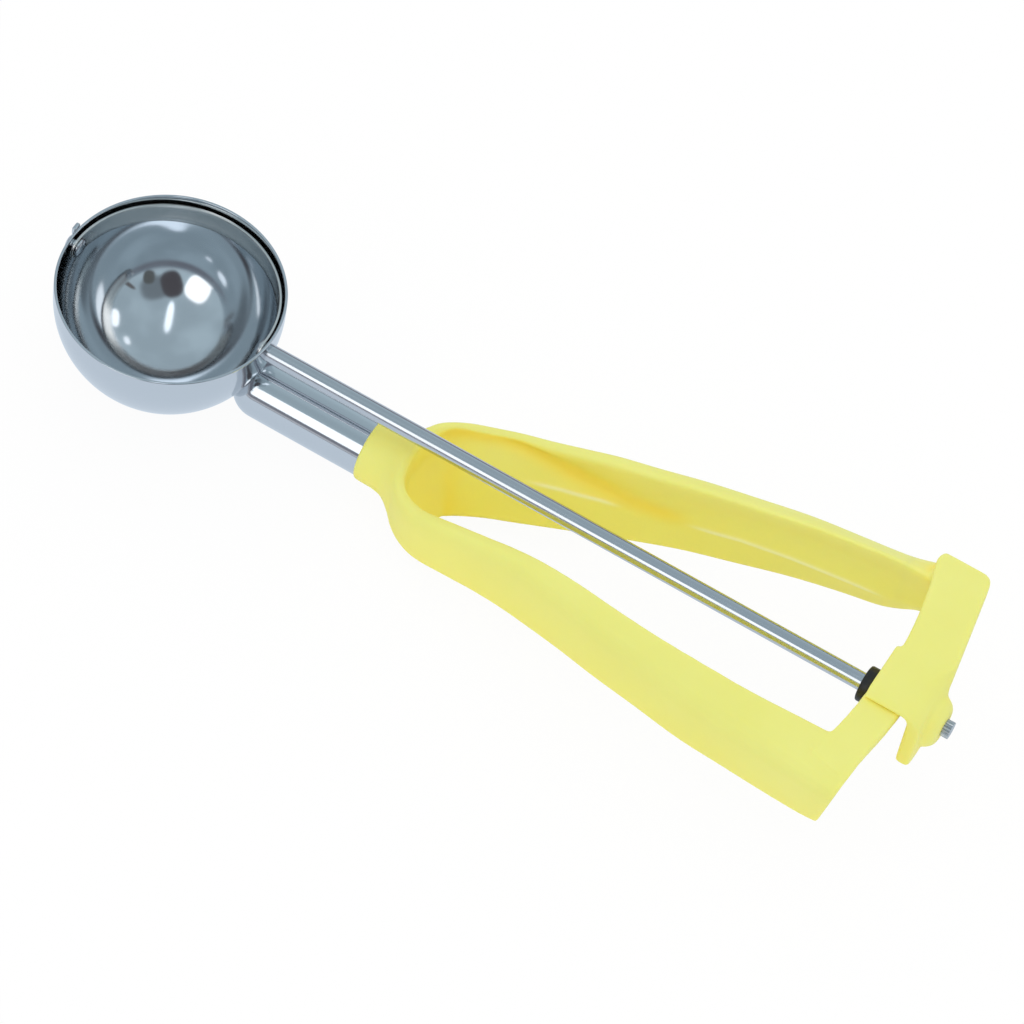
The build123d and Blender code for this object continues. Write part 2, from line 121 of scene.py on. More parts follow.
# Bearing boss: rows of x and radius, flaring into the rear wall.
BOSS_ROWS = [
    (205.6, 8.2), (207.0, 7.5), (207.9, 6.9), (208.7, 6.45),
    (209.6, 5.95), (210.3, 5.35), (210.8, 4.6), (211.0, 3.8),
]

# Bowl, tube and rod.
BOWL_OUTER_RADIUS = 27.8
BOWL_INNER_RADIUS = 27.1
RIM_Z = 3.84
OUTER_LIP, INNER_LIP = 0.3, 0.25
TUBE_RADIUS = 7.6
TUBE_Z = -14.9
TUBE_END_X = 67.9
TUBE_STOP_RADIUS = 27.2
ROD_RADIUS = 2.25
SPIGOT_RADIUS = 1.2
ROD_END_X = 194.9
RING_FRONT_X, RING_REAR_X, RING_RADIUS = 189.6, 192.5, 4.5

# Scraper blade.
BLADE_OUTER_RADIUS = 26.6
BLADE_INNER_RADIUS = 26.0
BLADE_HALF_WIDTH = 3.0
BLADE_DROOP = math.radians(-3.0)
BLADE_OVERRUN = 6.4

# ------------------------------------------------------------------ helpers


def spline(points, per_span):
    """Catmull-Rom curve through rows of points, with per_span steps between two rows."""
    points = np.array(points, float)
    ends = 2 * points[0] - points[1], 2 * points[-1] - points[-2]
    rows = np.concatenate([[ends[0]], points, [ends[1]]])
    curve = []
    for a, b, c, d in zip(rows, rows[1:], rows[2:], rows[3:]):
        for t in np.arange(per_span) / per_span:
            bend = 2 * a - 5 * b + 4 * c - d
            twist = 3 * b - a - 3 * c + d
            curve.append(0.5 * (2 * b + (c - a) * t + bend * t * t + twist * t**3))
    curve.append(points[-1])
    return np.array(curve)


def rounded_ring(corners, radii, steps=5):
    """A closed ring of points: a polygon whose corners are rounded in its own plane."""
    corners = [np.array(corner) for corner in corners]
    ring = []
    for i, corner in enumerate(corners):
        back = corners[i - 1] - corner
        onward = corners[(i + 1) % len(corners)] - corner
        start = corner + back * min(radii[i] / np.linalg.norm(back), 0.45)
        end = corner + onward * min(radii[i] / np.linalg.norm(onward), 0.45)
        for t in np.linspace(0, 1, steps):
            ring.append((1 - t) ** 2 * start + 2 * t * (1 - t) * corner + t * t * end)
    return ring


def mesh_object(name, verts, faces, smooth=True):
    """A mesh object from points in millimetres."""
    mesh = bpy.data.meshes.new(name)
    mesh.from_pydata([Vector(v) * MM for v in verts], [], faces)
    bm = bmesh.new()
    bm.from_mesh(mesh)
    bmesh.ops.remove_doubles(bm, verts=bm.verts, dist=1e-7)
    bmesh.ops.recalc_face_normals(bm, faces=bm.faces)
    bm.to_mesh(mesh)
    bm.free()
    for poly in mesh.polygons:
        poly.use_smooth = smooth
    ob = bpy.data.objects.new(name, mesh)
    bpy.context.scene.collection.objects.link(ob)
    return ob


def loft(rings):
    """Vertices and faces of a closed skin over rings that have the same number of points."""
    n = len(rings[0])
    verts = [v for ring in rings for v in ring]
    faces = []
    for k in range(len(rings) - 1):
        for i in range(n):
            j = (i + 1) % n
            faces.append((k * n + i, k * n + j, (k + 1) * n + j, (k + 1) * n + i))
    faces.append(tuple(range(n - 1, -1, -1)))
    faces.append(tuple(range((len(rings) - 1) * n, len(rings) * n)))
    return verts, faces


def block(x, y, z):
    """Vertices and faces of a block between two places on each axis."""
    verts = [(a, b, c) for a in x for b in y for c in z]
    faces = [(0, 1, 3, 2), (4, 6, 7, 5), (0, 4, 5, 1), (2, 3, 7, 6), (0, 2, 6, 4), (1, 5, 7, 3)]
    return verts, faces


def arc(along, out, radius, start, end, steps):
    """Profile rows on an arc about (along, out); angles in degrees, 0 pointing away from the axis."""
    angles = np.radians(np.linspace(start, end, steps))
    return [(along + radius * math.sin(a), max(out + radius * math.cos(a), 0.0)) for a in angles]


def revolve(name, profile, axis="X", centre_z=0.0, steps=128, closed=False):
    """A turned piece: profile rows are (along the axis, radius)."""
    verts, faces = [], []
    n = len(profile)
    for k in range(steps):
        c, s = math.cos(2 * math.pi * k / steps), math.sin(2 * math.pi * k / steps)
        for along, r in profile:
            if axis == "X":
                verts.append((along, r * c, r * s + centre_z))
            else:
                verts.append((r * c, r * s, along + centre_z))
    for k in range(steps):
        m = (k + 1) % steps
        for i in range(n if closed else n - 1):
            j = (i + 1) % n
            faces.append((k * n + i, m * n + i, m * n + j, k * n + j))
    return mesh_object(name, verts, faces)


def apply_modifiers(ob):
    """Replace an object's mesh by what its modifiers make of it."""
    deps = bpy.context.evaluated_depsgraph_get()
    mesh = bpy.data.meshes.new_from_object(ob.evaluated_get(deps))
    ob.modifiers.clear()
    ob.data = mesh
    for poly in mesh.polygons:
        poly.use_smooth = True
    return ob


def bevelled(ob, width, segments):
    """Round the sharp edges of a piece."""
    mod = ob.modifiers.new("bevel", "BEVEL")
    mod.width = width * MM
    mod.segments = segments
    mod.limit_method = "ANGLE"
    return apply_modifiers(ob)


def join(name, objects):
    """One mesh object from several."""
    bm = bmesh.new()
    for ob in objects:
        bm.from_mesh(ob.data)
    mesh = bpy.data.meshes.new(name)
    bm.to_mesh(mesh)
    bm.free()
    for ob in objects:
        bpy.data.objects.remove(ob)
    ob = bpy.data.objects.new(name, mesh)
    bpy.context.scene.collection.objects.link(ob)
    return ob


def fuse(ob):
    """Melt overlapping closed shells into one moulded skin and soften it."""
    melt = ob.modifiers.new("melt", "REMESH")
    melt.mode = "VOXEL"
    melt.voxel_size = VOXEL * MM
    melt.adaptivity = 0.0
    soften = ob.modifiers.new("soften", "SMOOTH")
    soften.factor = 0.5
    soften.iterations = SOFTENING_PASSES
    return apply_modifiers(ob)


# ------------------------------------------------------------------ handle
# A station has six corners round the arm: inner top, valley, ridge, inner foot, outer foot and
# shoulder. They are (x, y, z) in the crotch, where a station stands across the bend.


def arm_row(side, x, inner, top, valley, valley_z, ridge, ridge_z, foot, outer, bottom, shoulder, shoulder_z):
    """A station across an arm. side is 1 for the back arm and -1 for the front one."""
    shift = (x - HINGE_X) * SPREAD
    return [
        (x, side * inner + shift, top),
        (x, side * valley + shift, valley_z),
        (x, side * ridge + shift, ridge_z),
        (x, side * foot + shift, bottom),
        (x, side * outer + shift, bottom),
        (x, side * shoulder + shift, shoulder_z),
    ]


BACK = [
    [(69.6, 0.0, -6.2), (69.4, 0.0, -9.6), (69.9, 0.0, -14.0),
     (80.0, -2.5, -24.4), (65.0, 0.0, -23.6), (66.2, 0.0, -5.9)],
    [(70.1, 4.2, -6.2), (70.0, 4.4, -9.6), (70.4, 3.4, -14.1),
     (80.1, -2.3, -24.5), (66.3, 5.6, -23.9), (67.0, 6.3, -6.0)],
    [(71.3, 8.0, -6.3), (71.2, 7.9, -9.6), (72.0, 5.8, -14.2),
     (80.2, -2.1, -24.5), (68.6, 9.2, -24.3), (68.7, 10.4, -6.3)],
    [(73.5, 10.6, -6.5), (73.4, 10.3, -9.6), (74.2, 7.0, -14.2),
     (80.4, -1.9, -24.5), (71.8, 12.4, -24.5), (71.9, 13.5, -6.7)],
    [(76.6, 12.1, -6.5), (76.5, 11.9, -9.4), (77.0, 7.3, -14.0),
     (80.9, -1.6, -24.4), (75.8, 14.8, -24.5), (75.9, 16.0, -6.9)],
    [(80.6, 13.1, -5.8), (80.6, 12.9, -8.6), (80.8, 7.5, -13.4),
     (82.1, -0.8, -24.1), (80.6, 16.3, -24.1), (80.6, 17.4, -6.2)],
    arm_row(1, 88.0, 13.7, -4.0, 15.0, -5.7, 7.6, -12.8, 1.8, 17.2, -23.4, 18.2, -3.9),
    arm_row(1, 96.0, 14.2, -1.8, 15.8, -6.2, 10.0, -12.0, 4.6, 17.8, -22.6, 19.0, -1.9),
    arm_row(1, 104.0, 14.9, 0.8, 16.9, -7.4, 11.6, -10.6, 7.6, 18.8, -21.9, 20.1, 0.0),
    arm_row(1, 112.0, 15.9, 2.8, 18.0, -8.4, 13.6, -10.6, 10.4, 20.4, -21.1, 21.7, 1.2),
    arm_row(1, 122.0, 17.4, 4.1, 19.6, -8.2, 16.8, -12.0, 13.8, 22.6, -20.2, 23.7, 1.7),
    arm_row(1, 133.0, 19.4, 5.0, 21.8, -6.0, 19.4, -10.6, 17.3, 25.4, -19.2, 26.3, 2.0),
    arm_row(1, 145.0, 21.3, 6.0, 23.6, -3.6, 20.9, -8.3, 20.3, 28.0, -18.2, 28.7, 2.0),
    arm_row(1, 158.0, 22.9, 7.5, 25.2, -2.2, 22.4, -7.5, 23.4, 31.0, -17.0, 31.1, 2.0),
    arm_row(1, 170.0, 24.0, 8.6, 26.3, -1.6, 23.5, -7.0, 25.4, 32.8, -15.8, 32.3, 2.0),
    arm_row(1, 180.0, 24.7, 9.2, 27.0, -1.2, 24.4, -6.6, 26.6, 34.2, -14.8, 33.4, 1.8),
    arm_row(1, 185.0, 24.8, 9.2, 26.6, -0.8, 25.2, -6.4, 27.0, 34.6, -12.8, 33.8, 2.8),
    arm_row(1, 189.5, 24.6, 8.9, 26.0, -0.4, 25.4, -5.4, 26.8, 34.8, -9.4, 34.0, 4.8),
    arm_row(1, 193.0, 24.4, 8.7, 25.4, -0.4, 25.0, -4.6, 26.6, 35.0, -8.2, 33.6, 6.2),
    arm_row(1, 198.0, 24.2, 8.7, 25.0, -0.4, 24.8, -4.2, 26.6, 35.0, -7.8, 33.4, 6.4),
]
FRONT = [
    [(70.1, -4.2, -6.2), (70.0, -4.4, -9.6), (70.3, -3.8, -14.1),
     (80.0, -2.7, -24.4), (66.3, -5.6, -23.9), (67.0, -6.3, -6.0)],
    [(71.3, -8.0, -6.3), (71.2, -8.1, -9.6), (71.6, -7.0, -14.1),
     (80.2, -3.0, -24.5), (68.6, -9.2, -24.3), (68.7, -10.4, -6.3)],
    [(73.5, -10.6, -6.5), (73.4, -10.7, -9.6), (73.8, -9.2, -14.1),
     (80.5, -3.6, -24.5), (71.8, -12.4, -24.5), (71.9, -13.5, -6.7)],
    [(76.6, -12.1, -6.5), (76.6, -12.2, -9.4), (76.9, -10.4, -13.8),
     (81.4, -4.9, -24.4), (75.8, -14.8, -24.5), (75.9, -16.0, -6.9)],
    [(80.6, -13.1, -5.8), (80.6, -12.9, -8.8), (80.8, -11.2, -13.4),
     (83.3, -7.0, -24.1), (80.6, -16.3, -24.1), (80.6, -17.4, -6.2)],
    arm_row(-1, 88.0, 13.7, -4.0, 13.4, -7.2, 11.6, -12.6, 9.6, 17.2, -23.4, 18.2, -3.9),
    arm_row(-1, 96.0, 14.2, -1.8, 13.9, -5.8, 11.8, -11.6, 10.2, 17.8, -22.6, 19.0, -1.9),
    arm_row(-1, 104.0, 14.9, 0.8, 14.3, -4.6, 12.4, -10.6, 11.2, 18.8, -21.9, 20.1, 0.0),
    arm_row(-1, 112.0, 15.9, 2.8, 15.2, -4.2, 13.5, -9.8, 12.8, 20.4, -21.1, 21.7, 1.2),
    arm_row(-1, 122.0, 17.4, 4.1, 16.8, -4.2, 15.2, -9.4, 15.1, 22.6, -20.2, 23.7, 1.7),
    arm_row(-1, 133.0, 19.4, 5.0, 18.9, -4.2, 17.3, -9.8, 17.6, 25.4, -19.2, 26.3, 2.0),
    arm_row(-1, 145.0, 21.3, 6.0, 21.0, -4.2, 19.6, -10.4, 20.3, 28.0, -18.2, 28.7, 2.0),
    arm_row(-1, 158.0, 22.6, 6.8, 22.9, -4.0, 22.0, -11.0, 23.4, 31.0, -17.0, 31.4, 2.2),
    arm_row(-1, 170.0, 23.4, 7.2, 24.2, -3.6, 23.9, -11.4, 25.4, 32.8, -15.8, 33.5, 3.4),
    arm_row(-1, 181.0, 23.5, 7.4, 24.4, -3.0, 24.6, -11.4, 26.4, 34.3, -14.8, 35.7, 4.9),
    arm_row(-1, 191.0, 23.5, 7.4, 24.4, -2.6, 24.6, -11.2, 26.6, 35.3, -14.1, 37.7, 6.2),
    [(200.7, -19.5, 7.4), (198.6, -20.3, -2.4), (197.0, -20.7, -11.0),
     (196.4, -23.2, -13.6), (196.4, -31.7, -13.6), (199.6, -34.6, 6.6)],
]
STATION_RADII = [2.4, 3.0, 1.0, 2.0, 2.4, 5.0]
STEPS_BETWEEN_STATIONS = 8
HOUSING_ROWS_FROM_X = 165.0


def wall(stations):
    """A closed skin through stations of an arm."""
    return loft([rounded_ring(row, STATION_RADII) for row in spline(stations, STEPS_BETWEEN_STATIONS)])


def sector(inner, outer, bottom, steps=64):
    """A closed flat sector of the tongue about the squeeze hinge."""
    section = ((inner, bottom), (outer, bottom), (outer, TONGUE_TOP), (inner, TONGUE_TOP))
    rings = []
    for a in np.radians(np.linspace(*TONGUE_ANGLES, steps)):
        rings.append([(HINGE_X + r * math.cos(a), r * math.sin(a), z) for r, z in section])
    return loft(rings)


def collar(steps=96):
    """The collar over the tube, swelling into the fork."""
    rings = []
    for x, half_wide, half_high, squareness in COLLAR_ROWS:
        ring = []
        for a in np.linspace(0, 2 * math.pi, steps, endpoint=False):
            c, s = math.cos(a), math.sin(a)
            y = half_wide * math.copysign(abs(c) ** (2 / squareness), c)
            z = half_high * math.copysign(abs(s) ** (2 / squareness), s)
            ring.append((x, y, TUBE_Z + z))
        rings.append(ring)
    return loft(rings)


def rack_tooth(angle):
    """One rack tooth under the tongue, radial about the hinge."""
    half = (TOOTH_PITCH - BACKLASH) / 4
    tip = half - MODULE * FLANK_SLOPE
    root = half + (WEB_BOTTOM - PITCH_RADIUS) * FLANK_SLOPE
    corners = ((-tip, RAIL_BOTTOM), (tip, RAIL_BOTTOM), (root, TOOTH_TOP), (-root, TOOTH_TOP))
    c, s = math.cos(angle), math.sin(angle)
    rings = []
    for r in (FRONT_RAIL_RADIUS - TOOTH_OVERLAP, REAR_RAIL_RADIUS + TOOTH_OVERLAP):
        rings.append([(HINGE_X + r * c - y * s, r * s + y * c, z) for y, z in corners])
    return mesh_object("tooth", *loft(rings), smooth=False)


def end_at_seam(ob):
    """Remove the back arm's end behind the seam, where the housing's skin carries on."""
    clear_of_front = 15.0 * MM
    clear_of_crotch = 100.0 * MM
    bm = bmesh.new()
    bm.from_mesh(ob.data)
    middles = {f: f.calc_center_median() for f in bm.faces}
    arm = [f for f, at in middles.items() if at.y > clear_of_front and at.x > clear_of_crotch]
    geom = list({v for f in arm for v in f.verts}) + list({e for f in arm for e in f.edges}) + arm
    seam = (SEAM_X * MM, 0, 0)
    bmesh.ops.bisect_plane(bm, geom=geom, dist=1e-8, plane_co=seam, plane_no=(1, 0, 0))
    middles = {f: f.calc_center_median() for f in bm.faces}
    gone = [f for f, at in middles.items() if at.x > SEAM_X * MM and at.y > clear_of_front]
    bmesh.ops.delete(bm, geom=gone, context="FACES")
    bm.to_mesh(ob.data)
    bm.free()


VALLEY = [
    (72.0, 6.2, -13.4), (71.7, 8.2, -9.7), (73.0, 10.0, -8.3), (78.1, 12.7, -7.2), (84.1, 14.0, -5.8),
    (89.0, 15.0, -5.4), (94.2, 15.6, -5.6), (99.5, 16.2, -6.5), (104.8, 16.9, -7.5), (110.0, 17.6, -8.5),
    (115.2, 18.3, -9.3), (120.2, 19.4, -9.8), (127.6, 20.8, -9.9), (134.9, 22.2, -9.1),
]
FRONT_LINE = [
    (92.5, 10.5, -11.7), (95.4, 11.1, -11.4), (98.5, 11.9, -11.0), (102.1, 12.7, -10.4),
    (106.9, 13.9, -10.2), (111.5, 15.4, -10.2), (115.1, 16.5, -10.6), (118.0, 17.4, -10.8),
]
REAR_LINE = [
    (130.5, 20.9, -10.7), (132.9, 21.4, -10.3), (139.0, 22.4, -9.3), (145.1, 23.3, -8.1), (151.3, 24.3, -7.7),
    (157.5, 25.2, -7.3), (163.9, 26.0, -7.1), (170.2, 26.8, -6.9), (176.8, 27.5, -6.8), (183.0, 28.5, -7.1),
]


def nearness(points, line, width, fade):
    """How near each point is to a line drawn on the skin, fading at the line's ends."""
    line = np.array(line)
    lengths = np.linalg.norm(np.diff(line, axis=0), axis=1)
    ends = np.concatenate([[0], np.cumsum(lengths)])
    away = np.full(len(points), np.inf)
    place = np.zeros(len(points))
    for k, length in enumerate(lengths):
        start, span = line[k], line[k + 1] - line[k]
        t = np.clip((points - start) @ span / (span @ span), 0, 1)
        distance = np.linalg.norm(points - start - t[:, None] * span, axis=1)
        closer = distance < away
        away[closer] = distance[closer]
        place[closer] = (ends[k] + t * length)[closer]
    taper = np.clip(np.minimum(place, ends[-1] - place) / fade, 0, 1)
    return np.exp(-((away / width) ** 2)) * taper * taper * (3 - 2 * taper)


def vertex_vectors(mesh, name):
    """One vector of each of a mesh's vertices, as rows of an array."""
    flat = np.empty(len(mesh.vertices) * 3)
    mesh.vertices.foreach_get(name, flat)
    return flat.reshape(-1, 3)


def press_lines(ob):
    """Press the valley and raise the two fine mould lines on the back arm's inner face, and keep their
    weights as attributes for the painted shade in the valley and the painted highlight along the lines.
    """
    mesh = ob.data
    points = vertex_vectors(mesh, "co") / MM
    normals = vertex_vectors(mesh, "normal")
    facing_in = np.clip((-normals[:, 1] - INWARD) / INWARD, 0, 1)
    valley = nearness(points, VALLEY, VALLEY_WIDTH, VALLEY_FADE) * facing_in
    front = nearness(points, FRONT_LINE, LINE_WIDTH, FRONT_LINE_FADE)
    rear = nearness(points, REAR_LINE, LINE_WIDTH, REAR_LINE_FADE)
    lines = np.maximum(front, rear)
    moved = points + normals * (LINE_HEIGHT * lines - VALLEY_DEPTH * valley)[:, None]
    mesh.vertices.foreach_set("co", (moved * MM).ravel())
    # Weights for the painted shade in the valley and the painted highlight along the mould lines.
    for name, weight in (("valley", valley), ("painted_line_highlight", lines)):
        layer = mesh.attributes.new(name, "FLOAT", "POINT")
        layer.data.foreach_set("value", weight.astype(np.float32))
    mesh.update()


def handle_skin():
    """Both arms, the collar and the tongue as one moulded skin."""
    shells = [
        mesh_object("shell_wall", *wall(FRONT[::-1] + BACK)),
        mesh_object("shell_collar", *collar()),
        mesh_object("shell_web", *sector(TONGUE_INNER_RADIUS, TONGUE_OUTER_RADIUS, WEB_BOTTOM)),
        mesh_object("shell_rail_front", *sector(TONGUE_INNER_RADIUS, FRONT_RAIL_RADIUS, RAIL_BOTTOM)),
        mesh_object("shell_rail_rear", *sector(REAR_RAIL_RADIUS, TONGUE_OUTER_RADIUS, RAIL_BOTTOM)),
    ]
    skin = fuse(join("handle_moulding", shells))
    end_at_seam(skin)
    press_lines(skin)
    return skin


def rack_teeth():
    """The rack's teeth, at the pinion's pitch along the mesh radius."""
    step = TOOTH_PITCH / MESH_RADIUS
    return join("rack_teeth", [rack_tooth((RACK_FIRST_GAP + 0.5 + i) * step) for i in range(RACK_TEETH)])


# ------------------------------------------------------------------ gear housing


def rear_x(y):
    """The housing's straight rear edge."""
    return 203.75 + (31.0 - y) * 0.17


def plan_prism(points, radii, bottom, top):
    """A flat plate whose corners are rounded in plan."""
    ring = rounded_ring(points, radii, 7)
    return loft([[(p[0], p[1], z) for p in ring] for z in (bottom, top)])


def cover():
    """The cover beyond the gear box: its front edge curves about the hinge."""
    points = []
    for y in np.linspace(COVER_NEAR_Y, COVER_CURVE_END_Y, COVER_CURVE_POINTS):
        points.append((HINGE_X + math.sqrt(COVER_INNER_RADIUS**2 - y**2), y))
    points += [
        (189.9, HOUSING_FAR_Y),
        (rear_x(HOUSING_FAR_Y), HOUSING_FAR_Y),
        (rear_x(SHOULDER_Y), SHOULDER_Y),
        (204.8, COVER_NEAR_Y),
    ]
    radii = [0.1] * COVER_CURVE_POINTS + [1.0, 2.4, 0.2, 0.2]
    return plan_prism(points, radii, COVER_BOTTOM, COVER_TOP)


def skirt():
    """The rim under the cover: along the rear edge, and over the back arm's end."""
    inner_rear = [(rear_x(y) - SKIRT_THICKNESS, y) for y in (SKIRT_NEAR_Y, 34.5)]
    points = inner_rear + [
        (197.5, 34.5),
        (197.5, 31.0),
        (190.4, 31.0),
        (190.4, HOUSING_FAR_Y),
        (rear_x(HOUSING_FAR_Y), HOUSING_FAR_Y),
        (rear_x(SKIRT_NEAR_Y), SKIRT_NEAR_Y),
    ]
    radii = [0.2, 0.2, 0.2, 0.2, 0.2, 0.6, 2.4, 0.2]
    return plan_prism(points, radii, SKIRT_BOTTOM, COVER_TOP - 0.5)


def along_y(rows):
    """A bar along Y: each row gives a Y value and the XZ corners of its section."""
    rings = []
    for y, corners in rows:
        ring = rounded_ring(corners, [BAR_EDGE_RADIUS] * len(corners))
        rings.append([(p[0], y, p[1]) for p in ring])
    return loft(rings)


def box_row(y, drop):
    """The gear box's roof and rear wall: thinner at the near end."""
    top = COVER_TOP - drop
    bottom = REAR_WALL_BOTTOM + drop
    return (y, [
        (BOX_FRONT_X, COVER_BOTTOM),
        (BOX_FRONT_X, top),
        (204.6, top),
        (207.4, top - 2.0),
        (BOX_REAR_X, REAR_WALL_TOP),
        (207.6, bottom),
        (204.1, bottom),
        (204.1, 6.6),
        (203.2, COVER_BOTTOM),
    ])


def corner_row(y, edge_x, back, foot_x):
    """The corner that carries the rear wall's top over into the cover's rear edge."""
    front = [(200.0, COVER_BOTTOM), (200.0, COVER_TOP)]
    foot = [(foot_x, REAR_WALL_TOP), (204.5, REAR_WALL_TOP)]
    return (y, front + [(edge_x, COVER_TOP), back] + foot)


def boss(steps=96):
    """The domed bearing boss on the rear wall."""
    rings = []
    for x, r in BOSS_ROWS:
        angles = np.linspace(0, 2 * math.pi, steps, endpoint=False)
        rings.append([(x, r * math.cos(a), r * math.sin(a)) for a in angles])
    return loft(rings)


def housing_skin():
    """The cover, the gear box, the boss and the back arm's end as one moulded skin."""
    arm_end = [row for row in BACK if row[0][0] > HOUSING_ROWS_FROM_X]
    drops = ((-8.5, 1.5), (-7.6, 0.8), (-6.4, 0.25), (-5.0, 0.0), (BOX_FAR_Y, 0.0))
    box = [box_row(y, drop) for y, drop in drops]
    corner = [
        corner_row(6.5, 204.7, (207.5, 8.0), BOX_REAR_X),
        corner_row(9.0, 205.9, (207.5, 8.9), 207.6),
        corner_row(11.0, 206.9, (207.2, 9.7), 207.1),
    ]
    shells = [
        mesh_object("h_arm", *wall(arm_end)),
        mesh_object("h_cover", *cover()),
        mesh_object("h_box", *along_y(box)),
        mesh_object("h_side", *block((BOX_FRONT_X, 204.5), (5.9, 7.6), (WALL_BOTTOM, WALL_TOP))),
        mesh_object("h_front", *block((BOX_FRONT_X, 194.3), (-6.5, BOX_FAR_Y), (WALL_BOTTOM, WALL_TOP))),
        mesh_object("h_skirt", *skirt()),
        mesh_object("h_corner", *along_y(corner)),
        mesh_object("h_boss", *boss()),
    ]
    skin = fuse(join("gear_housing_shell", shells))
    bm = bmesh.new()
    bm.from_mesh(skin.data)
    geom = bm.verts[:] + bm.edges[:] + bm.faces[:]
    seam = (SEAM_X * MM, 0, 0)
    bmesh.ops.bisect_plane(bm, geom=geom, dist=1e-7, plane_co=seam, plane_no=(-1, 0, 0), clear_outer=True)
    bm.to_mesh(skin.data)
    bm.free()
    return skin


# ------------------------------------------------------------------ steel pieces and the ring


def bowl_shell():
    """The pressed bowl: a hemisphere with a straight skirt and a rounded rim."""
    skirt_bottom, skirt_top = 0.4, RIM_Z - OUTER_LIP
    profile = arc(0, 0, BOWL_OUTER_RADIUS, -90, 0, 80)
    profile += [(z, BOWL_OUTER_RADIUS) for z in np.linspace(skirt_bottom, skirt_top, 8)]
    profile += arc(RIM_Z - OUTER_LIP, BOWL_OUTER_RADIUS - OUTER_LIP, OUTER_LIP, 0, 90, 6)
    profile += arc(RIM_Z - INNER_LIP, BOWL_INNER_RADIUS + INNER_LIP, INNER_LIP, 90, 180, 6)
    profile += [(z, BOWL_INNER_RADIUS) for z in np.linspace(RIM_Z - 2 * INNER_LIP, skirt_bottom, 8)]
    profile += arc(0, 0, BOWL_INNER_RADIUS, 0, -90, 80)
    return revolve("bowl_shell", profile, "Z", steps=256)


def shank_tube():
    """The tube with its domed front end, which stops inside the bowl's wall."""
    profile = arc(BOWL_OUTER_RADIUS, 0, TUBE_RADIUS, -90, 0, 40)
    profile += [(x, TUBE_RADIUS) for x in (30, 40, 50, 60, TUBE_END_X)]
    tube = revolve("shank_tube_shell", profile, centre_z=TUBE_Z, steps=160)
    bm = bmesh.new()
    bm.from_mesh(tube.data)
    inside = [v for v in bm.verts if v.co.length < TUBE_STOP_RADIUS * MM]
    bmesh.ops.delete(bm, geom=inside, context="VERTS")
    bm.to_mesh(tube.data)
    bm.free()
    return tube


def blade_rod():
    """The rod, with the spigot that carries the blade at its front end."""
    profile = [(24.9, 0.0), (24.95, 1.0), (25.1, SPIGOT_RADIUS), (26.65, SPIGOT_RADIUS)]
    profile += [(26.65, ROD_RADIUS - 0.15), (26.8, ROD_RADIUS)]
    profile += [(x, ROD_RADIUS) for x in np.linspace(28, ROD_END_X - 0.2, 60)]
    profile += [(ROD_END_X, ROD_RADIUS - 0.15), (ROD_END_X, 0.0)]
    return revolve("blade_rod", profile, steps=96)


def thrust_ring():
    """The black ring on the rod, with rounded edges."""
    front = [(0.0, ROD_RADIUS), (0.0, RING_RADIUS - 0.5), (0.15, RING_RADIUS - 0.15), (0.5, RING_RADIUS)]
    profile = [(RING_FRONT_X + x, r) for x, r in front]
    profile += [(RING_REAR_X - x, r) for x, r in reversed(front)]
    return revolve("thrust_ring_shell", profile, steps=96)


def scraper_blade():
    """The scraper strip: half a ring of sprung steel with rounded ends round its pivots."""
    overrun = np.linspace(0, BLADE_OVERRUN, 8)
    angles = np.radians(np.concatenate([-overrun[::-1], np.linspace(1.5, 178.5, 119), 180 + overrun]))
    c, s = math.cos(BLADE_DROOP), math.sin(BLADE_DROOP)
    rings = []
    for a in angles:
        beyond = max(0.0, -math.sin(a) * BLADE_OUTER_RADIUS)
        half = math.sqrt(max(BLADE_HALF_WIDTH**2 - beyond**2, 0.01))
        across = [half * share for share in (-1, -0.5, 0, 0.5, 1)]
        section = [(BLADE_OUTER_RADIUS, w) for w in across]
        section += [(BLADE_INNER_RADIUS, w) for w in reversed(across)]
        ring = []
        for r, w in section:
            flat = math.sqrt(r * r - w * w)
            x, y = flat * math.cos(a), flat * math.sin(a)
            ring.append((x, y * c - w * s, y * s + w * c))
        rings.append(ring)
    return bevelled(mesh_object("scraper_blade", *loft(rings)), 0.12, 2)


def blade_rivet_head():
    """The peened head on the rod's spigot, inside the blade."""
    dome = [(25.02, 1.6), (25.15, 2.1), (25.45, 2.35), (25.9, 2.4)]
    profile = [(25.0, SPIGOT_RADIUS)] + dome + [(25.9, SPIGOT_RADIUS)]
    return revolve("blade_rivet_head", profile, steps=64, closed=True)


def pivot_rivet():
    """The far pivot: a domed head on each side of the bowl's wall, and an ear over the rim."""
    outer_head = [(-29.0, 0.0), (-28.97, 0.8), (-28.8, 1.6), (-28.5, 2.15), (-28.1, 2.38), (-27.8, 2.4)]
    shank = [(-27.75, 1.4), (-25.7, 1.4)]
    inner_head = [(-25.7, 2.35), (-25.5, 2.4), (-25.2, 2.25), (-24.95, 1.8), (-24.8, 1.0), (-24.78, 0.0)]
    turned = revolve("pivot_turned", outer_head + shank + inner_head, steps=64)
    ear = mesh_object("pivot_ear", *block((-28.5, -27.4), (0.5, 2.9), (2.4, 5.0)))
    return join("pivot_rivet_shell", [turned, bevelled(ear, 0.4, 3)])


handle = handle_skin()
rack = rack_teeth()
housing = housing_skin()
bowl = bowl_shell()
tube = shank_tube()
rod = blade_rod()
ring = thrust_ring()
blade = scraper_blade()
blade_rivet = blade_rivet_head()
pivot = pivot_rivet()

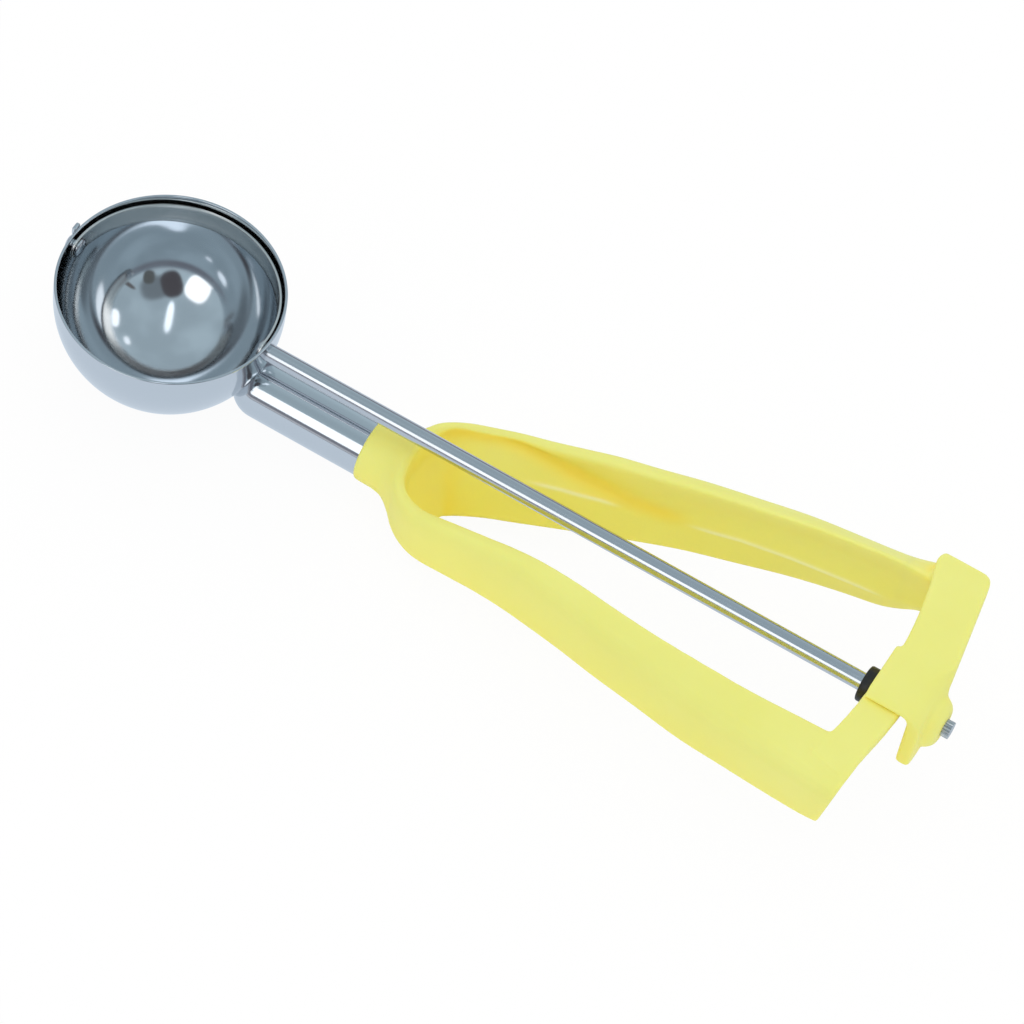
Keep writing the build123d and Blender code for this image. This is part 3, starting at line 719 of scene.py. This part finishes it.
# ------------------------------------------------------------------ riding
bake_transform(handle)
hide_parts("handle_back_arm", "handle_front_arm")
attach(rack, "front_lever")
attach(housing, "frame")
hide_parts("gear_housing")
for ob, body, node, slot in (
    (bowl, "frame", "bowl", "polished_steel"),
    (tube, "frame", "shank_tube", "polished_steel"),
    (pivot, "frame", "pivot_rivet", "polished_steel"),
    (rod, "gear_rod", "rod", "drawn_steel"),
    (ring, "gear_rod", "thrust_ring", "black_plastic"),
    (blade, "gear_rod", "blade", "polished_steel"),
    (blade_rivet, "gear_rod", "blade_rivet", "drawn_steel"),
):
    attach(ob, body)
    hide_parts(node)

# ------------------------------------------------------------------ shader nodes


def is_socket(value):
    """Whether a value comes from another node."""
    return isinstance(value, bpy.types.NodeSocket)


def add_node(tree, kind, inputs, **settings):
    """A shader node. Its inputs, by name or place, are values or other nodes' outputs."""
    node = tree.nodes.new("ShaderNode" + kind)
    for name, value in settings.items():
        setattr(node, name, value)
    for key, value in inputs.items():
        if is_socket(value):
            tree.links.new(value, node.inputs[key])
        else:
            node.inputs[key].default_value = value
    return node


def calculate(tree, operation, a, b):
    """A number worked out from two others."""
    return add_node(tree, "Math", {0: a, 1: b}, operation=operation).outputs[0]


def noise(tree, where, scale, detail=2.0):
    """Soft noise between 0 and 1."""
    return add_node(tree, "TexNoise", {"Vector": where, "Scale": scale, "Detail": detail}).outputs["Fac"]


def map_range(tree, value, start, end, low=0.0, high=1.0, interpolation="LINEAR"):
    """A value moved from one range to another."""
    inputs = {"Value": value, "From Min": start, "From Max": end, "To Min": low, "To Max": high}
    return add_node(tree, "MapRange", inputs, interpolation_type=interpolation).outputs["Result"]


def soft_step(tree, value, start, end):
    """0 before the start and 1 after the end, with a smooth rise between them."""
    return map_range(tree, value, start, end, interpolation="SMOOTHSTEP")


def mix_colour(tree, factor, a, b):
    """A colour between two colours."""
    a, b = (colour if is_socket(colour) else (*colour, 1) for colour in (a, b))
    return add_node(tree, "Mix", {"Factor": factor, "A": a, "B": b}, data_type="RGBA").outputs["Result"]


# ------------------------------------------------------------------ materials
Finish = namedtuple("Finish", "name colour metallic grain grain_strength grain_depth wear smoothest roughest")
YELLOW = Finish("yellow_polypropylene", (0.75, 0.76, 0.225), 0.0, 2200.0, 0.08, 0.00002, 90.0, 0.46, 0.56)
POLISHED = Finish("polished_stainless", (0.64, 0.67, 0.70), 1.0, 900.0, 0.012, 0.00001, 60.0, 0.06, 0.13)
SPRING = Finish("spring_steel_strip", (0.76, 0.75, 0.72), 1.0, 1100.0, 0.05, 0.00001, 80.0, 0.18, 0.30)
DRAWN = Finish("drawn_steel_rod", (0.60, 0.62, 0.65), 1.0, 1500.0, 0.03, 0.00001, 120.0, 0.10, 0.2)
BLACK = Finish("black_nylon", (0.012, 0.012, 0.012), 0.0, 1800.0, 0.08, 0.00002, 200.0, 0.38, 0.52)
ZINC = Finish("cast_zinc", (0.50, 0.53, 0.55), 1.0, 1600.0, 0.15, 0.00003, 300.0, 0.28, 0.45)

# Yellow: soft patches of two shades, plus painted shade: ambient occlusion paints deep hollows and creases a
# warmer orange, standing in for the shade and bounced yellow light inside them.
SECOND_YELLOW = (0.73, 0.735, 0.195)
PATCH_SCALE = 40.0
HOLLOW_PAINTED_SHADE, HOLLOW_REACH, HOLLOW_RANGE = (0.97, 0.88, 0.185), 0.05, (0.3, 0.95)
CREASE_PAINTED_SHADE, CREASE_REACH, CREASE_RANGE = (0.96, 0.76, 0.09), 0.012, (0.45, 0.95)
# Attributes that press_lines leaves on the skin: name, strength and colour. The valley's orange is painted
# shade in the valley, and the pale yellow along the mould lines is a painted highlight.
LINE_PAINTED_SHADE_AND_HIGHLIGHT = (("valley", 0.65, (0.95, 0.73, 0.08)), ("painted_line_highlight", 0.8, (0.90, 0.88, 0.50)))
NOISE_SPREAD = (0.3, 0.7)


def material(finish):
    """A material with fine grain in its bump and soft wear in its roughness."""
    made = bpy.data.materials.new(finish.name)
    made.use_nodes = True
    tree = made.node_tree
    shader = tree.nodes["Principled BSDF"]
    shader.inputs["Base Color"].default_value = (*finish.colour, 1)
    shader.inputs["Metallic"].default_value = finish.metallic
    where = add_node(tree, "TexCoord", {}).outputs["Object"]
    grain = noise(tree, where, finish.grain, 3.0)
    depth = {"Strength": finish.grain_strength, "Distance": finish.grain_depth, "Height": grain}
    tree.links.new(add_node(tree, "Bump", depth).outputs["Normal"], shader.inputs["Normal"])
    wear = noise(tree, where, finish.wear, 4.0)
    wear = map_range(tree, wear, *NOISE_SPREAD, finish.smoothest, finish.roughest)
    tree.links.new(wear, shader.inputs["Roughness"])
    return made


def yellow_plastic():
    """The moulded yellow, a little translucent, with painted shade in hollows, creases and the valley and a
    painted highlight along the mould lines.
    """
    made = material(YELLOW)
    tree = made.node_tree
    shader = tree.nodes["Principled BSDF"]
    where = add_node(tree, "TexCoord", {}).outputs["Object"]
    patches = map_range(tree, noise(tree, where, PATCH_SCALE, 4.0), *NOISE_SPREAD)
    skin = mix_colour(tree, patches, YELLOW.colour, SECOND_YELLOW)
    # Painted shade: the hollow and crease colours are mixed in where ambient occlusion finds the skin shut
    # in.
    for colour, reach, limits, own_mesh in (
        (HOLLOW_PAINTED_SHADE, HOLLOW_REACH, HOLLOW_RANGE, False),
        (CREASE_PAINTED_SHADE, CREASE_REACH, CREASE_RANGE, True),
    ):
        shade = add_node(tree, "AmbientOcclusion", {"Distance": reach}, samples=8, only_local=own_mesh)
        skin = mix_colour(tree, map_range(tree, shade.outputs["AO"], *limits), colour, skin)
    # Painted shade in the valley and a painted highlight along the mould lines, weighted by press_lines'
    # attributes.
    for name, strength, colour in LINE_PAINTED_SHADE_AND_HIGHLIGHT:
        weight = add_node(tree, "Attribute", {}, attribute_name=name).outputs["Fac"]
        skin = mix_colour(tree, calculate(tree, "MULTIPLY", weight, strength), skin, colour)
    tree.links.new(skin, shader.inputs["Base Color"])
    shader.inputs["Specular IOR Level"].default_value = 0.25
    shader.inputs["Subsurface Weight"].default_value = 0.3
    shader.inputs["Subsurface Radius"].default_value = (1.0, 0.75, 0.25)
    shader.inputs["Subsurface Scale"].default_value = 0.002
    return made


def dress(mat, *pieces):
    """Give pieces one material."""
    for piece in pieces:
        piece.data.materials.clear()
        piece.data.materials.append(mat)


dress(yellow_plastic(), handle, housing, rack)
dress(material(POLISHED), bowl, tube, pivot)
dress(material(SPRING), blade)
dress(material(DRAWN), rod, blade_rivet)
dress(material(BLACK), ring)
zinc = material(ZINC)
for material_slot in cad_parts["pinion"].material_slots:
    material_slot.material = zinc

# ------------------------------------------------------------------ floor
FLOOR_HALF = 1500
FLOOR_Z = -28
# What polished metal sees of the floor: a bright sheet near the scoop that darkens outwards.
NEAR_SHEET, FAR_SHEET = (0.70, 0.79, 0.89), (0.17, 0.18, 0.20)
SHEET_START, SHEET_END = 0.25, 0.75
GLOW = 0.94


def pale_floor():
    """The floor's material: it takes shadows, and looks white to the camera."""
    made = bpy.data.materials.new("pale_floor")
    made.use_nodes = True
    tree = made.node_tree
    shader = tree.nodes["Principled BSDF"]
    shader.inputs["Base Color"].default_value = (0.9, 0.9, 0.9, 1)
    shader.inputs["Roughness"].default_value = 0.9
    rays = add_node(tree, "LightPath", {}).outputs
    where = add_node(tree, "TexCoord", {}).outputs["Object"]
    away = add_node(tree, "VectorMath", {0: where}, operation="LENGTH").outputs["Value"]
    sheet = mix_colour(tree, soft_step(tree, away, SHEET_START, SHEET_END), NEAR_SHEET, FAR_SHEET)
    glow = add_node(tree, "Emission", {"Color": mix_colour(tree, rays["Is Camera Ray"], sheet, (1, 1, 1))})
    shown = calculate(tree, "MAXIMUM", rays["Is Camera Ray"], rays["Is Glossy Ray"])
    share = calculate(tree, "MULTIPLY", shown, GLOW)
    both = add_node(tree, "MixShader", {0: share, 1: shader.outputs[0], 2: glow.outputs[0]})
    tree.links.new(both.outputs[0], tree.nodes["Material Output"].inputs["Surface"])
    return made


floor_corners = [(x * FLOOR_HALF, y * FLOOR_HALF, FLOOR_Z) for x, y in ((-1, -1), (1, -1), (1, 1), (-1, 1))]
floor = mesh_object("floor", floor_corners, [(0, 1, 2, 3)], smooth=False)
dress(pale_floor(), floor)

# ------------------------------------------------------------------ world
# Studio cards that the steel reflects. Each is a rounded patch of the world, given in degrees by
# where it stands seen from the scoop, its half sizes, its turn and the softness of its edge.
Card = namedtuple("Card", "elevation azimuth half_wide half_high turn soft colour")
CARDS = [
    Card(43, -40, 15, 12, 0, 0.6, (0.20, 0.24, 0.27)),
    Card(36, -97, 13, 13, 0, 0.25, (1.7, 1.75, 1.8)),
    Card(21, -107, 7, 6, 0, 0.4, (1.6, 1.65, 1.7)),
    Card(74, -67, 3.6, 16, 0, 0.5, (1.6, 1.75, 1.9)),
    Card(37, 31, 8, 5, 10, 0.4, (1.6, 1.7, 1.8)),
    Card(49, 57, 4, 3, 0, 0.4, (1.3, 1.4, 1.5)),
    Card(40, -63, 11, 14, 20, 0.35, (0.09, 0.085, 0.095)),
    Card(31, -35, 6, 7, -20, 0.3, (0.12, 0.13, 0.13)),
    Card(26, -8, 2, 12, 25, 0.4, (0.14, 0.13, 0.13)),
]
CARD_SQUARENESS = 2.6
DIM_ROOM, BRIGHT_ROOM = (0.40, 0.50, 0.56), (0.50, 0.62, 0.69)
LOW_BAND, LOW_BAND_EDGE = (0.25, 0.26, 0.30), (0.33, 0.46)
HORIZON, HORIZON_EDGE = (0.62, 0.63, 0.68), (0.02, 0.14)
SOFT_LIGHT = (1.08, 1.08, 1.08)


def toward(tree, looking, axis):
    """How far the ray's direction points along an axis."""
    return add_node(tree, "VectorMath", {0: looking, 1: axis}, operation="DOT_PRODUCT").outputs["Value"]


def card_mask(tree, looking, card):
    """1 inside a card's rounded outline, 0 outside."""
    e, a, t = (math.radians(v) for v in (card.elevation, card.azimuth, card.turn))
    centre = Vector((math.cos(e) * math.cos(a), math.cos(e) * math.sin(a), math.sin(e)))
    level = Vector((-math.sin(a), math.cos(a), 0.0))
    upright = centre.cross(level)
    wide = math.cos(t) * level + math.sin(t) * upright
    high = math.cos(t) * upright - math.sin(t) * level
    reach = 0.0
    for axis, half in ((wide, card.half_wide), (high, card.half_high)):
        off = calculate(tree, "ABSOLUTE", toward(tree, looking, axis / math.sin(math.radians(half))), 0.0)
        reach = calculate(tree, "ADD", calculate(tree, "POWER", off, CARD_SQUARENESS), reach)
    inside = calculate(tree, "SUBTRACT", 1.0, soft_step(tree, reach, 1.0 - card.soft, 1.0 + card.soft))
    in_front = soft_step(tree, toward(tree, looking, centre), 0.0, 0.05)
    return calculate(tree, "MULTIPLY", in_front, inside)


def studio():
    """The world: plain soft light, white to the camera, and a room with cards in reflections."""
    world = bpy.data.worlds.new("studio")
    world.use_nodes = True
    tree = world.node_tree
    looking = add_node(tree, "TexCoord", {}).outputs["Generated"]
    height = toward(tree, looking, (0, 0, 1))
    room = mix_colour(tree, soft_step(tree, noise(tree, looking, 1.6), 0.35, 0.65), DIM_ROOM, BRIGHT_ROOM)
    room = mix_colour(tree, soft_step(tree, height, *LOW_BAND_EDGE), LOW_BAND, room)
    room = mix_colour(tree, soft_step(tree, height, *HORIZON_EDGE), HORIZON, room)
    for card in CARDS:
        room = mix_colour(tree, card_mask(tree, looking, card), room, card.colour)
    rays = add_node(tree, "LightPath", {}).outputs
    seen = mix_colour(tree, rays["Is Glossy Ray"], SOFT_LIGHT, room)
    seen = mix_colour(tree, rays["Is Camera Ray"], seen, (1, 1, 1))
    tree.links.new(seen, tree.nodes["Background"].inputs["Color"])
    return world


# ------------------------------------------------------------------ lamp and camera
LAMP_PLACE, LAMP_TARGET = Vector((0.2, -0.1, 1.0)), Vector((0.1, 0, 0))
LAMP_SIZE, LAMP_POWER = 0.6, 0.5

# The photograph's camera, in metres and unit vectors, and its focal length in pixels.
CAMERA_PLACE = Vector((0.352266, -0.679458, 1.056757))
CAMERA_RIGHT = Vector((0.856634, 0.502998, 0.114769))
CAMERA_AHEAD = Vector((-0.198552, 0.526731, -0.826518))
FOCAL_PIXELS = 5472.57
PHOTO_PIXELS = 1024
SENSOR_WIDTH = 36


def key_lamp():
    """A large soft lamp overhead, which the steel doesn't reflect."""
    light = bpy.data.lights.new("key_soft", "AREA")
    light.energy = LAMP_POWER
    light.size = LAMP_SIZE
    lamp = bpy.data.objects.new("key_soft", light)
    bpy.context.scene.collection.objects.link(lamp)
    lamp.location = LAMP_PLACE
    lamp.rotation_euler = (LAMP_TARGET - LAMP_PLACE).to_track_quat("-Z", "Y").to_euler()
    lamp.visible_glossy = False


def photo_camera():
    """The camera that sees the scoop as the photograph does."""
    data = bpy.data.cameras.new("camera")
    data.sensor_width = SENSOR_WIDTH
    data.lens = FOCAL_PIXELS * SENSOR_WIDTH / PHOTO_PIXELS
    data.clip_start = 0.05
    data.clip_end = 10
    camera = bpy.data.objects.new("camera", data)
    bpy.context.scene.collection.objects.link(camera)
    up = CAMERA_RIGHT.cross(CAMERA_AHEAD)
    turn = Matrix((CAMERA_RIGHT, up, -CAMERA_AHEAD)).transposed()
    camera.matrix_world = Matrix.Translation(CAMERA_PLACE) @ turn.to_4x4()
    return camera


key_lamp()
scene = bpy.context.scene
scene.world = studio()
scene.camera = photo_camera()
scene.view_settings.view_transform = "Standard"
